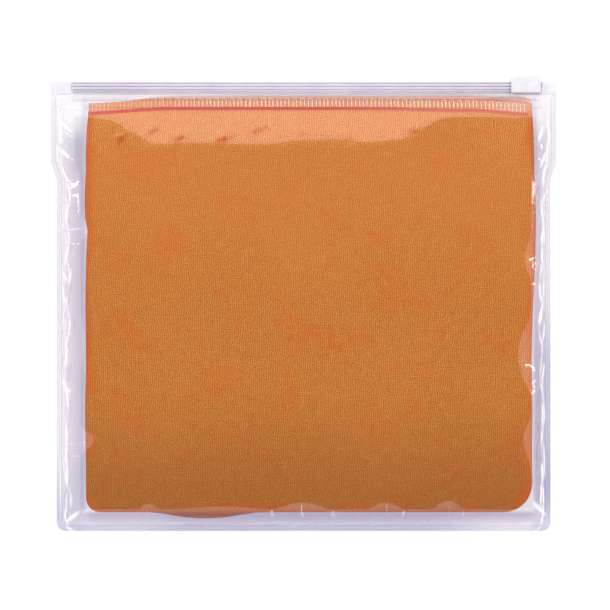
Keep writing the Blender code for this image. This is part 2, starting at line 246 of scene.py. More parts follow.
def swellings(x, y):
    """Low slanting swellings in the film above the zip end of the towel."""
    lift = np.zeros_like(x)
    for middle_x, middle_y, half in SWELLINGS:
        across = (x - middle_x * MM) * 0.87 + (y - middle_y * MM) * 0.5
        up = (y - middle_y * MM) * 0.87 - (x - middle_x * MM) * 0.5
        lift += hump(across, half * MM) * hump(up, 3.2 * MM)
    return lift


def middle_waves(x, y):
    """Slow waves over the flat of the bag, faded out near its edges."""
    slow = perlin(x, y, 60 * MM, 45 * MM, 7.7)
    inside = smooth_step(115 * MM - np.abs(x - 2 * MM), 30 * MM)
    inside = inside * smooth_step(95 * MM - np.abs(y + 8 * MM), 30 * MM)
    return 0.16 * MM * (slow - 0.5) * inside


def pillow(x, y, full, side):
    """Rise of a film over its seam face."""
    edge = half_width(y) - SEAM_WIDTH
    left = rising(x + edge, LEFT_SLOPE * slack(y, LEFT_SLACK))
    right = rising(edge - x, RIGHT_SLOPE * slack(y, RIGHT_SLACK))
    bottom = rising(y - BOTTOM_Y - SEAM_WIDTH, BOTTOM_SLOPE * slack(x, BOTTOM_SLACK))
    slope = top_slope(x) if side == FRONT else TOP_SLOPE
    top = rising(SLOPE_TOP_Y - y, slope)
    return left * right * bottom * (SKIRT_STEP + (full - SKIRT_STEP) * top)


def film_inner(x, y, side):
    """Inner face of a film, without the creases beside its seams."""
    if side == BACK:
        return BACK_HIGH.z - pillow(x, y, BACK_RISE, side)
    return FRONT_LOW.z + pillow(x, y, FRONT_RISE, side) + middle_waves(x, y)


# -------------------------------------------------------------- mesh builders

def new_object(name, bm):
    """Turns a bmesh into an object in the scene."""
    mesh = bpy.data.meshes.new(name)
    bm.to_mesh(mesh)
    bm.free()
    made = bpy.data.objects.new(name, mesh)
    bpy.context.scene.collection.objects.link(made)
    return made


def verts_in(items):
    return [item for item in items if isinstance(item, bmesh.types.BMVert)]


def grid_object(name, columns, rows):
    """A flat grid and the column and row number of each of its vertices."""
    bm = bmesh.new()
    bmesh.ops.create_grid(bm, x_segments=columns - 1, y_segments=rows - 1, size=1.0)
    made = new_object(name, bm)
    flat = vertices_of(made)
    i = np.rint((flat[:, 0] + 1.0) / 2.0 * (columns - 1)).astype(int)
    j = np.rint((flat[:, 1] + 1.0) / 2.0 * (rows - 1)).astype(int)
    return made, i, j


def vertices_of(made):
    places = np.empty(len(made.data.vertices) * 3, np.float32)
    made.data.vertices.foreach_get("co", places)
    return places.reshape(-1, 3).astype(float)


def move_vertices(made, places):
    made.data.vertices.foreach_set("co", places.astype(np.float32).ravel())
    made.data.update()


def point_values(made, name, values):
    """Keeps a number for each vertex, which a material reads by its name."""
    layer = made.data.attributes.new(name, "FLOAT", "POINT")
    layer.data.foreach_set("value", values.astype(np.float32))


def thickened(made, thickness, offset):
    """Gives an open sheet its thickness, with the wall kept in the mesh."""
    wall = made.modifiers.new("thickness", "SOLIDIFY")
    wall.thickness = thickness
    wall.offset = offset
    bpy.context.view_layer.update()
    graph = bpy.context.evaluated_depsgraph_get()
    solid = bpy.data.meshes.new_from_object(made.evaluated_get(graph))
    made.modifiers.clear()
    old = made.data
    made.data = solid
    bpy.data.meshes.remove(old)
    solid.name = made.name


def finished(name, bm, smooth_angle=40.0):
    """Turns a bmesh into an object with its faces pointing out and round parts smooth."""
    bmesh.ops.recalc_face_normals(bm, faces=bm.faces)
    made = new_object(name, bm)
    made.data.shade_smooth()
    made.data.set_sharp_from_angle(angle=math.radians(smooth_angle))
    return made


def tube_along(bm, path, radius, sides=6):
    """Adds a thread or wire with closed ends along a list of points."""
    circle = bmesh.ops.create_circle(bm, cap_ends=True, radius=radius, segments=sides)
    ring = circle["verts"]
    face = ring[0].link_faces[0]
    up = Vector((0, 0, 1))
    for index, place in enumerate(path):
        ahead = path[min(index + 1, len(path) - 1)] - path[max(index - 1, 0)]
        turn = up.rotation_difference(ahead.normalized())
        if index:
            extruded = bmesh.ops.extrude_face_region(bm, geom=[face])["geom"]
            if index > 1:
                bmesh.ops.delete(bm, geom=[face], context="FACES_ONLY")
            ring = verts_in(extruded)
            face = next(item for item in extruded if isinstance(item, bmesh.types.BMFace))
        centre = sum((vert.co for vert in ring), Vector()) / len(ring)
        for vert in ring:
            vert.co = vert.co - centre
        if index:
            back = previous.inverted()
            for vert in ring:
                vert.co.rotate(back)
        for vert in ring:
            vert.co.rotate(turn)
            vert.co += place
        previous = turn


# ------------------------------------------------------------------ materials

def new_material(name):
    made = bpy.data.materials.new(name)
    made.use_nodes = True
    tree = made.node_tree
    return made, tree, tree.nodes["Principled BSDF"]


def plug(tree, value, socket):
    """Feeds a socket from another socket, or sets a plain value on it."""
    if isinstance(value, bpy.types.NodeSocket):
        tree.links.new(value, socket)
    else:
        socket.default_value = value


def feed(tree, node, inputs):
    """Feeds the inputs of a node by their names."""
    for name, value in inputs.items():
        plug(tree, value, node.inputs[name])


def srgb(red, green, blue):
    """Linear colour from a 0 to 255 display colour."""
    def linear(value):
        share = value / 255.0
        return share / 12.92 if share <= 0.04045 else ((share + 0.055) / 1.055) ** 2.4
    return (linear(red), linear(green), linear(blue), 1.0)


def mottle_group():
    """Node group: soft patches of noise, from 0 to 1 between two levels."""
    group = bpy.data.node_groups.new("mottle", "ShaderNodeTree")
    faces = group.interface
    faces.new_socket("Vector", in_out="INPUT", socket_type="NodeSocketVector")
    for name, value in (("Scale", 100.0), ("Detail", 3.0), ("Low", 0.4), ("High", 0.6)):
        faces.new_socket(name, in_out="INPUT", socket_type="NodeSocketFloat").default_value = value
    faces.new_socket("Mask", in_out="OUTPUT", socket_type="NodeSocketFloat")
    start = group.nodes.new("NodeGroupInput")
    end = group.nodes.new("NodeGroupOutput")
    cloud = group.nodes.new("ShaderNodeTexNoise")
    clip = group.nodes.new("ShaderNodeMapRange")
    for name in ("Vector", "Scale", "Detail"):
        group.links.new(start.outputs[name], cloud.inputs[name])
    group.links.new(cloud.outputs["Fac"], clip.inputs["Value"])
    group.links.new(start.outputs["Low"], clip.inputs["From Min"])
    group.links.new(start.outputs["High"], clip.inputs["From Max"])
    group.links.new(clip.outputs["Result"], end.inputs["Mask"])
    return group


MOTTLE = mottle_group()


def mottle(tree, vector, scale, low, high, detail=3.0):
    node = tree.nodes.new("ShaderNodeGroup")
    node.node_tree = MOTTLE
    feed(tree, node, {"Vector": vector, "Scale": scale, "Detail": detail, "Low": low,
                      "High": high})
    return node.outputs["Mask"]


def attribute(tree, name):
    """The number that a mesh keeps under this name at each vertex."""
    node = tree.nodes.new("ShaderNodeAttribute")
    node.attribute_name = name
    return node.outputs["Fac"]


def object_place(tree):
    return tree.nodes.new("ShaderNodeTexCoord").outputs["Object"]


def axes_of(tree, vector):
    """The X, Y and Z sockets of a vector."""
    parts = tree.nodes.new("ShaderNodeSeparateXYZ")
    tree.links.new(vector, parts.inputs[0])
    return parts.outputs


def maths(tree, operation, *values):
    node = tree.nodes.new("ShaderNodeMath")
    node.operation = operation
    for value, socket in zip(values, node.inputs):
        plug(tree, value, socket)
    return node.outputs[0]


def times(tree, value, factor):
    return maths(tree, "MULTIPLY", value, factor)


def times_plus(tree, value, factor, more):
    return maths(tree, "ADD", times(tree, value, factor), more)


def levels(tree, value, low, high, to_low=0.0, to_high=1.0):
    """Stretches the values between two levels, and clips the rest."""
    node = tree.nodes.new("ShaderNodeMapRange")
    feed(tree, node, {"Value": value, "From Min": low, "From Max": high, "To Min": to_low,
                      "To Max": to_high})
    return node.outputs["Result"]


def wave(tree, along, length):
    """A smooth wave from 0 to 1 over a distance, one crest for each length."""
    turn = maths(tree, "SINE", times(tree, along, 2 * math.pi / length))
    return times(tree, maths(tree, "ADD", turn, 1.0), 0.5)


def blend_colours(tree, share, first, second):
    """Mixes two colours, each plain or from a socket, by a share from a socket."""
    node = tree.nodes.new("ShaderNodeMix")
    node.data_type = "RGBA"
    for number, value in ((0, share), (6, first), (7, second)):
        plug(tree, value, node.inputs[number])
    return node.outputs[2]


def ramp_colours(tree, value, stops):
    """A colour that runs through stops of (value, colour)."""
    node = tree.nodes.new("ShaderNodeValToRGB")
    marks = node.color_ramp.elements
    while len(marks) < len(stops):
        marks.new(0.5)
    for mark, (position, colour) in zip(marks, stops):
        mark.position = position
        mark.color = colour
    tree.links.new(value, node.inputs[0])
    return node.outputs[0]


def mix_shaders(tree, share, first, second):
    node = tree.nodes.new("ShaderNodeMixShader")
    for value, socket in zip((share, first, second), node.inputs):
        plug(tree, value, socket)
    return node.outputs[0]


def roughened(tree, height, strength, distance):
    """Normal of a surface with this relief."""
    node = tree.nodes.new("ShaderNodeBump")
    feed(tree, node, {"Strength": strength, "Distance": distance, "Height": height})
    return node.outputs["Normal"]


def film_material():
    """Clear vinyl: tinted with painted shade in its margins, with a white haze that is a painted
    highlight along its creases and frost with painted light elsewhere, and glossy by angle.
    """
    made, tree, frost_and_highlight = new_material("clear_lavender_vinyl")
    ripples = tree.nodes.new("ShaderNodeTexNoise")
    feed(tree, ripples, {"Scale": 220.0, "Detail": 2.0, "Vector": object_place(tree)})
    normal = roughened(tree, ripples.outputs["Fac"], 0.25, 0.12 * MM)

    # The film's lavender tint, deepened by painted shade in the margins; the weld lines are the
    # film's own pressed lines
    tint_and_shade = blend_colours(tree, attribute(tree, "margin"), (0.975, 0.968, 0.982, 1),
                         (0.80, 0.785, 0.87, 1))
    tint_and_shade = blend_colours(tree, attribute(tree, "weld"), tint_and_shade, (0.66, 0.60, 0.78, 1))
    clear = tree.nodes.new("ShaderNodeBsdfTransparent")
    feed(tree, clear, {"Color": tint_and_shade})
    feed(tree, frost_and_highlight, {"Base Color": (0.98, 0.97, 1.0, 1), "Roughness": 0.35, "Normal": normal})
    # White haze: a painted highlight along the creases, and frost with painted light
    share = maths(tree, "MAXIMUM", times(tree, attribute(tree, "crease_highlight"), 0.9),
                  times(tree, attribute(tree, "frost_and_painted_light"), 0.30))
    body = mix_shaders(tree, share, clear.outputs[0], frost_and_highlight.outputs[0])

    shine = tree.nodes.new("ShaderNodeBsdfGlossy")
    feed(tree, shine, {"Color": (1, 1, 1, 1), "Roughness": 0.06, "Normal": normal})
    glance = tree.nodes.new("ShaderNodeLayerWeight")
    feed(tree, glance, {"Blend": 0.5, "Normal": normal})
    mirror = maths(tree, "POWER", glance.outputs["Facing"], 5.0)
    mirror = times_plus(tree, mirror, 0.5, 0.04)
    whole = mix_shaders(tree, mirror, body, shine.outputs[0])
    tree.links.new(whole, tree.nodes["Material Output"].inputs["Surface"])
    return made


def track_material(name, ridge_shaded, pale, deep):
    """Milky lavender extrusion, with painted shade drawn as a dark line along each of its ridges
    where asked for.
    """
    made, tree, body = new_material(name)
    place = object_place(tree)
    colour = blend_colours(tree, mottle(tree, place, 90.0, 0.35, 0.7), deep, pale)
    stretch = tree.nodes.new("ShaderNodeMapping")
    feed(tree, stretch, {"Scale": (0.02, 1.0, 1.0), "Vector": place})
    drawn = mottle(tree, stretch.outputs["Vector"], 2600.0, 0.35, 0.65, 1.0)
    # Painted shade of the ridges, which are too small for their geometry to shade
    if ridge_shaded:
        down = maths(tree, "SUBTRACT", TOP_Y, axes_of(tree, place)[1])
        turn = maths(tree, "FRACT", maths(tree, "DIVIDE", down, TRACK_HEIGHT / TRACK_RIDGES))
        off = maths(tree, "ABSOLUTE", maths(tree, "SUBTRACT", turn, 0.5))
        in_track = levels(tree, down, TRACK_HEIGHT * 1.02, TRACK_HEIGHT * 0.98)
        ridge_shade = times(tree, levels(tree, off, 0.25, 0.10), in_track)
        colour = blend_colours(tree, times(tree, ridge_shade, 0.55), colour, srgb(152, 138, 176))
    else:
        colour = blend_colours(tree, times(tree, drawn, 0.3), colour, deep)
    feed(tree, body, {"Base Color": colour, "Roughness": 0.22,
                      "Normal": roughened(tree, drawn, 0.3, 0.05 * MM)})
    clear = tree.nodes.new("ShaderNodeBsdfTransparent")
    feed(tree, clear, {"Color": (0.95, 0.92, 0.97, 1)})
    whole = mix_shaders(tree, 0.72, clear.outputs[0], body.outputs[0])
    tree.links.new(whole, tree.nodes["Material Output"].inputs["Surface"])
    return made


def slider_material():
    """Opaque white moulding, satin, faintly uneven."""
    made, tree, body = new_material("white_slider_plastic")
    place = object_place(tree)
    cloud = mottle(tree, place, 260.0, 0.35, 0.7)
    grain = mottle(tree, place, 3200.0, 0.3, 0.7, 2.0)
    feed(tree, body, {
        "Base Color": blend_colours(tree, cloud, srgb(229, 226, 234), srgb(238, 236, 242)),
        "Normal": roughened(tree, grain, 0.15, 0.03 * MM), "Roughness": 0.38,
        "Subsurface Weight": 0.15, "Subsurface Radius": (0.002, 0.002, 0.002)})
    return made


def terry_relief(tree, plane):
    """Relief of the cloth, from 0 to 1: ribs along it, courses across it, and loops."""
    axes = axes_of(tree, plane)
    wander = times(tree, mottle(tree, plane, 120.0, 0.0, 1.0, 3.0), 3.2 * MM)
    rib = wave(tree, maths(tree, "ADD", axes[0], wander), RIB_PITCH)
    course = wave(tree, maths(tree, "ADD", axes[1], wander), COURSE_PITCH)
    strength = times_plus(tree, mottle(tree, plane, 210.0, 0.3, 0.7, 2.0), 0.12, 0.20)
    relief = times(tree, rib, strength)
    for pattern, share in ((course, 0.12), (mottle(tree, plane, 1250.0, 0.3, 0.7, 2.0), 0.30),
                           (mottle(tree, plane, 2300.0, 0.3, 0.7, 1.0), 0.26)):
        relief = times_plus(tree, pattern, share, relief)
    return relief


def towel_material():
    """Ribbed terry: pale crests and deep grooves as painted light and shade, redder patches, and
    painted light and shade from the film and the lamps.
    """
    made, tree, body = new_material("orange_ribbed_terry")
    cloth = tree.nodes.new("ShaderNodeUVMap")
    cloth.uv_map = "cloth"
    plane = cloth.outputs["UV"]
    relief = terry_relief(tree, plane)
    grooves = levels(tree, relief, 0.62, 0.38)

    # Painted light and shade of the relief: the ramp darkens the grooves and lightens the crests;
    # under the film's fall the contrast is stronger and the tone lighter, as painted light
    fall = attribute(tree, "fall")
    contrast = times_plus(tree, fall, 2.6, 1.0)
    relief_light_and_shade = times(tree, maths(tree, "SUBTRACT", relief, 0.5), contrast)
    relief_light_and_shade = maths(tree, "ADD", relief_light_and_shade, times_plus(tree, fall, 0.17, 0.5))
    colour = ramp_colours(tree, relief_light_and_shade, ((0.10, srgb(124, 66, 18)), (0.42, srgb(202, 122, 44)),
                                         (0.62, srgb(226, 148, 66)), (0.86, srgb(250, 190, 112))))
    patch = times(tree, mottle(tree, plane, 42.0, 0.52, 0.66, 8.0),
                  times_plus(tree, grooves, 0.28, 0.11))
    # Painted shade under the film's swellings, broken up by noise and the grooves
    ragged = times(tree, mottle(tree, plane, 420.0, 0.35, 0.65, 3.0), 0.35)
    ragged = times_plus(tree, grooves, 0.30, ragged)
    swelling_shade = levels(tree, times_plus(tree, attribute(tree, "swelling_shade"), 0.75, ragged), 0.60, 0.86)
    # Overlays: redder random patches, paler random patches, painted light on the upper towel and
    # under the film's fall, painted shade under the film's swellings, painted shade towards the
    # foot and along the rounded edges, and painted light on the layers behind the hem
    overlays = ((patch, 1.0, srgb(222, 86, 30)),
                (mottle(tree, plane, 17.0, 0.45, 0.75, 2.0), 0.15, srgb(230, 152, 78)),
                (attribute(tree, "upper"), 0.26, srgb(248, 154, 78)),
                (fall, 0.34, srgb(255, 150, 66)),
                (swelling_shade, 0.66, srgb(206, 78, 18)),
                (attribute(tree, "shade"), 0.43, srgb(130, 66, 24)),
                (attribute(tree, "edge"), 0.38, srgb(226, 86, 34)),
                (attribute(tree, "light_behind_hem"), 0.92, srgb(255, 194, 168)))
    for share, amount, tone in overlays:
        colour = blend_colours(tree, times(tree, share, amount), colour, tone)
    feed(tree, body, {
        "Base Color": colour, "Roughness": 0.95, "Specular IOR Level": 0.1, "Sheen Weight": 0.12,
        "Sheen Roughness": 0.6, "Sheen Tint": (1.0, 0.55, 0.25, 1),
        "Normal": roughened(tree, relief, 0.7, 0.35 * MM)})
    return made


def thread_material(name, pale, deep, change, first):
    """Spun thread: twisted plies and a little fuzz.

    first is its colour before the change, a pair of places along X, and pale is the one after.
    """
    made, tree, body = new_material(name)
    place = object_place(tree)
    plies = mottle(tree, place, 2400.0, 0.3, 0.7, 1.0)
    drift = mottle(tree, place, 120.0, 0.3, 0.7)
    colour = blend_colours(tree, levels(tree, axes_of(tree, place)[0], *change), first, pale)
    colour = blend_colours(tree, times(tree, plies, 0.3), colour, deep)
    colour = blend_colours(tree, times(tree, drift, 0.15), colour, deep)
    feed(tree, body, {"Base Color": colour, "Roughness": 0.8, "Specular IOR Level": 0.15,
                      "Sheen Weight": 0.04, "Normal": roughened(tree, plies, 0.5, 0.06 * MM)})
    return made


# ----------------------------------------------------------------- the films

def strands(x, y, side):
    """Creases beside the seams: lines that wander and cross like a loose braid.

    Returns the lift of the film, from 0 to 1, at each place. Each run has its distance in from
    the seam, its place along it, the middle and the reach of its braid, and its strength.
    """
    edge = half_width(y) - SEAM_WIDTH
    lift = np.zeros_like(x)
    seed = 11.0 if side == FRONT else 31.0
    runs = ((x + edge, y, 3.0 * MM, 14 * MM, 1.0), (edge - x, y, 2.3 * MM, 8 * MM, 1.0),
            (y - BOTTOM_Y - SEAM_WIDTH, x, 1.8 * MM, 9 * MM, 0.25))
    for number, (inward, along, middle, reach, most) in enumerate(runs):
        zero = np.zeros_like(along)
        for strand in range(3):
            place = seed + 5.0 * number + strand
            sway = perlin(along, zero, 24 * MM, 1.0, place)
            small = perlin(along, zero, 7 * MM, 1.0, place + 0.5)
            centre = middle * (1.0 + 1.7 * sway + 0.3 * small)
            fade = perlin(along, zero, 11 * MM, 1.0, place + 2.0)
            strength = clip01(0.62 + 1.8 * fade)
            width = 0.42 * MM * (0.55 + 0.75 * strength)
            line = np.exp(-((inward - centre) / width) ** 2) * strength * most
            lift = np.maximum(lift, line * (inward > 0) * (inward < reach))
    return lift * smooth_step(SLOPE_TOP_Y - 4 * MM - y, 6 * MM)


def single_creases(x, y):
    """Straight sharp creases across the slack film, thin at both ends."""
    lift = np.zeros_like(x)
    for x0, y0, x1, y1, width in CREASES:
        run = Vector((x1 - x0, y1 - y0)) * MM
        share = ((x - x0 * MM) * run.x + (y - y0 * MM) * run.y) / run.length_squared
        off = ((x - x0 * MM) * run.y - (y - y0 * MM) * run.x) / run.length
        taper = np.sin(np.pi * clip01(share)) ** 0.5
        lift = np.maximum(lift, np.exp(-(off / (width * MM * (0.3 + taper))) ** 2) * taper)
    return lift


def puckers(x, y, side):
    """Soft gathers that run in from the seams."""
    edge = half_width(y) - SEAM_WIDTH
    seed = 51.0 if side == FRONT else 71.0
    from_side = np.minimum(x + edge, edge - x)
    from_foot = y - BOTTOM_Y - SEAM_WIDTH
    sides = perlin(y, x, 9 * MM, 16 * MM, seed) * hump(from_side - 4 * MM, 7 * MM)
    low = perlin(x, y, 9 * MM, 16 * MM, seed + 3) * hump(from_foot - 3 * MM, 6 * MM)
    band = perlin(x, y, 15 * MM, 9 * MM, seed + 7) * hump(y - 97 * MM, 13 * MM)
    inside = smooth_step(edge - np.abs(x) - 6 * MM, 10 * MM)
    return np.maximum(sides, 0), np.maximum(low, 0), np.maximum(band, 0) * inside


def film_rows(fine, along):
    """Places along Y of a film's rows, close at the weld, the gathers and the skirt lines."""
    ys = [BOTTOM_Y + step for step in WELD_STEPS]
    ys += spread(BOTTOM_Y + SEAM_WIDTH, BOTTOM_Y + BOTTOM_BAND, fine * 1.3)
    ys += spread(BOTTOM_Y + BOTTOM_BAND, UPPER_BAND_Y, along)
    upper = spread(UPPER_BAND_Y, SLOPE_TOP_Y, 1.0 * MM)
    upper = [y for y in upper if min(abs(y - line) for line in SKIRT_LINES) > 0.7 * MM]
    for line in SKIRT_LINES:
        upper += [line + step * MM for step in (-0.5, -0.25, 0.0, 0.25, 0.5)]
    ys += sorted(upper) + [SLOPE_TOP_Y, (SLOPE_TOP_Y + FILM_TOP_Y) / 2, FILM_TOP_Y]
    return np.array(ys)


def film_grid(name, fine, coarse, along):
    """A flat grid over the pouch, fine beside its seams, with the X and Y of its vertices."""
    ys = film_rows(fine, along)
    left = np.array(WELD_STEPS + spread(SEAM_WIDTH, LEFT_BAND, fine))
    right = np.array(WELD_STEPS + spread(SEAM_WIDTH, RIGHT_BAND, fine))
    inner = round((2 * HALF_WIDTH - LEFT_BAND - RIGHT_BAND) / coarse)
    columns = len(left) + inner + len(right)
    made, i, j = grid_object(name, columns, len(ys))
    y = ys[j]
    half = half_width(y)
    low = -half + LEFT_BAND
    high = half - RIGHT_BAND
    share = (i - len(left) + 0.5) / inner
    x = low + (high - low) * share
    is_left = i < len(left)
    x[is_left] = left[i[is_left]] - half[is_left]
    is_right = i >= len(left) + inner
    x[is_right] = half[is_right] - right[columns - 1 - i[is_right]]
    return made, x, y


def weld_lines(x, y):
    """Pressed lines: the two rims of the seam, and the skirt lines under the zip."""
    half = half_width(y)
    out = SEAM_WIDTH - np.minimum.reduce([x + half, half - x, y - BOTTOM_Y])
    rims = np.maximum(hump(out - 2.4 * MM, 0.3 * MM), hump(out - 0.4 * MM, 0.3 * MM))
    rims *= smooth_step(FILM_TOP_Y - y, 2 * MM)
    skirts = np.maximum(*(hump(y - line, 0.4 * MM) for line in SKIRT_LINES))
    return rims, skirts * (x > TRACK_LOW.x) * (x < TRACK_HIGH.x)


def film_tints(x, y):
    """How much tint and painted shade the film has, and how much frost and painted light, both
    from 0 over the cloth to about 1.

    The slack margins carry the film's tint with painted shade from the towel and the floor, less
    towards the seams. Under the zip the film is frosted, with more painted light to the left;
    beyond the towel's upper corners, in the zip's corners and over the hem's ends its white
    veil is painted light.
    """
    half = half_width(y)
    is_left = x < 0
    beside = np.maximum(TOWEL_LOW.x - x, x - TOWEL_HIGH.x)
    below = TOWEL_LOW.y - y
    margin = np.where(is_left, half + TOWEL_LOW.x, half - TOWEL_HIGH.x)
    to_seam = smooth_step(beside, margin)
    lower_half = smooth_step(20 * MM - y, 60 * MM)

    # Painted shade beside the towel, over the film's tint, weaker at the seam and in the lower
    # corners
    tint_and_shade_beside = np.where(is_left, 0.5, 0.52 + 0.22 * lower_half)
    tint_and_shade_beside *= smooth_step(beside + 1.5 * MM, 2.5 * MM)
    fade_from = np.where(is_left, -126 * MM, -110 * MM)
    fade = to_seam * smooth_step(y - fade_from, 50 * MM)
    tint_and_shade_beside *= 1.0 - fade * (1.0 - np.where(is_left, 0.0, 0.6) * lower_half)
    lowest = 1.0 - smooth_step(y - BOTTOM_Y - 2 * MM, 24 * MM)
    tint_and_shade_beside *= 1.0 - np.where(is_left, 0.16, 0.5) * lowest

    # Painted shadow of the towel below it, over the film's tint, strongest under its edge, and
    # weaker outward, to the right and at the corners
    outward = clip01(below / (TOWEL_LOW.y - BOTTOM_Y - SEAM_WIDTH))
    to_right = smooth_step(x - 60 * MM, 55 * MM)
    tint_and_shadow_below = 0.95 - 0.15 * to_right - (0.42 + 0.28 * to_right) * outward
    tint_and_shadow_below -= 0.20 * smooth_step(-60 * MM - x, 30 * MM)
    corner = smooth_step(beside + 5 * MM, 11 * MM)
    tint_and_shadow_below += (0.36 - 0.22 * is_left * to_seam - tint_and_shadow_below) * corner
    tint_and_shadow_below *= smooth_step(below + 1.5 * MM, 2.5 * MM)

    # Under the zip, in its corners, beyond the towel's upper corners and over its hem's ends:
    # frost under the zip, and painted light that lifts the film where the floor's shade darkens it
    out = np.abs(x)
    under_zip = smooth_step(y - ZIP_BAND_Y, 0.8 * MM) * (out < HALF_WIDTH - 9 * MM)
    zip_corner = smooth_step(out - 84 * MM, 24 * MM) * smooth_step(y - ZIP_BAND_Y, 2 * MM)
    beyond = smooth_step(beside + 0.5 * MM, 2.5 * MM) * smooth_step(y - 86 * MM, 18 * MM)
    hem_corner = smooth_step(out - 100 * MM, 18 * MM) * smooth_step(y - 103.5 * MM, 3 * MM)
    to_left = smooth_step(-20 * MM - x, 50 * MM)
    tint_and_shade = np.maximum.reduce([tint_and_shade_beside, tint_and_shadow_below, 0.15 * (1.0 - to_left) * under_zip])
    tint_and_shade *= 1.0 - np.maximum(beyond, zip_corner)
    frost_and_painted_light = np.maximum.reduce([(0.4 + 0.5 * to_left) * under_zip, 0.5 * beyond,
                               0.25 * hem_corner, 1.7 * zip_corner])
    return tint_and_shade, frost_and_painted_light


def film_piece(side, look):
    """One film with its welded border, bag shape, gathers and creases."""
    if side == FRONT:
        made, x, y = film_grid("front_film_sheet", fine=0.36 * MM, coarse=3.0 * MM,
                               along=1.0 * MM)
    else:
        made, x, y = film_grid("back_film_sheet", fine=0.7 * MM, coarse=4.0 * MM,
                               along=2.2 * MM)
    z = film_inner(x, y, side)
    sides, low_gathers, band = puckers(x, y, side)
    line = strands(x, y, side)
    if side == FRONT:
        line = np.maximum(line, single_creases(x, y))
    rims, skirts = weld_lines(x, y)
    lift = GATHER_LIFT * sides + LOW_GATHER_LIFT * low_gathers + CREASE_LIFT * line
    lift += RIM_LIFT * rims + SKIRT_LINE_LIFT * skirts
    if side == FRONT:
        lift += BAND_LIFT * band + SWELLING_LIFT * swellings(x, y)
    else:
        lift = np.minimum(lift, np.maximum(z - FILM, 0))
    move_vertices(made, np.stack([x, y, z + side * lift], 1))
    if (made.data.polygons[0].normal.z > 0) != (side == FRONT):
        made.data.flip_normals()
    tint_and_shade, frost_and_painted_light = film_tints(x, y)
    # The film's tint with painted shade from the towel and the floor
    point_values(made, "margin", tint_and_shade)
    # Frost under the zip, and painted light at the zip's ends and the towel's upper corners
    point_values(made, "frost_and_painted_light", frost_and_painted_light * (side == FRONT))
    # The crease share is a painted highlight, weaker on the back film
    shown = 1.0 if side == FRONT else 0.25
    point_values(made, "crease_highlight", shown * clip01(line * 1.1) ** 1.5)
    point_values(made, "weld", np.maximum(rims * 0.10, skirts * 0.4))
    thickened(made, FILM, 1.0)
    made.data.shade_smooth()
    made.data.materials.clear()
    made.data.materials.append(look)
    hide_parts("front_film" if side == FRONT else "back_film")
    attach(made, "pouch")


# ------------------------------------------------------------------ the towel

def zigzag(layers, length, pitch, flat_steps, turn_steps, first_end, outside):
    """A strip folded to and fro. Returns its points, normals and distances along it.

    It starts first_end short of the far side, in the top layer, and works down. The cloth
    outside its middle surface is allowed for at each turn.
    """
    radius = pitch / 2
    turn = radius + outside
    points, normals, run = [], [], [0.0]
    for layer in range(layers):
        height = (layers - 1 - layer) * pitch
        heading = -1.0 if layer % 2 == 0 else 1.0
        start = length - turn if layer % 2 == 0 else turn
        stop = turn if layer % 2 == 0 else length - turn
        start = length - first_end if layer == 0 else start
        for step in range(flat_steps + 1):
            a = start + (stop - start) * (0.5 - 0.5 * math.cos(math.pi * step / flat_steps))
            points.append((a, height))
            normals.append((0.0, -heading))
        if layer == layers - 1:
            break
        for step in range(1, turn_steps):
            angle = math.pi * step / turn_steps
            points.append((stop + heading * radius * math.sin(angle),
                           height - radius + radius * math.cos(angle)))
            normals.append((-math.sin(angle), -heading * math.cos(angle)))
    for one, two in zip(points, points[1:]):
        run.append(run[-1] + math.dist(one, two))
    return np.array(points), np.array(normals), np.array(run)


def towel_outline(y, inward):
    """How far a side of the towel comes in from its straight edge at each height."""
    return np.interp(y, np.array(SIDE_Y) * MM, np.array(inward) * MM)


def hem_bow(x):
    """How far the end hem drops towards both ends."""
    left = (1.0 - smooth_step(x - TOWEL_LOW.x, 48 * MM)) * 2.8 * MM
    right = smooth_step(x - TOWEL_HIGH.x + 36 * MM, 36 * MM) * 2.2 * MM
    right += smooth_step(x - TOWEL_HIGH.x + 90 * MM, 50 * MM) * 1.2 * MM
    return left + right


def back_drop(x):
    """How far the folds behind the hem drop towards both ends."""
    left = (1.0 - smooth_step(x - TOWEL_LOW.x, 52 * MM)) * 5.4 * MM
    right = smooth_step(x - TOWEL_HIGH.x + 9 * MM, 9 * MM) * 2.2 * MM
    return left + right


def room(x, y, full, side):
    """Depth inside one film that the towel may fill, with its shift to the left allowed for.

    The places around count too, so that the wide cells of the cloth stay under the film.
    """
    least = np.full_like(x, full)
    for step_y in (-CELL_Y, 0.0):
        for step_x in (-TOWEL_SHIFT - CELL_X, -TOWEL_SHIFT, 0.0, CELL_X):
            least = np.minimum(least, pillow(x + step_x, y + step_y, full, side))
    return np.maximum(least - 1.2 * GAP, 0.0)


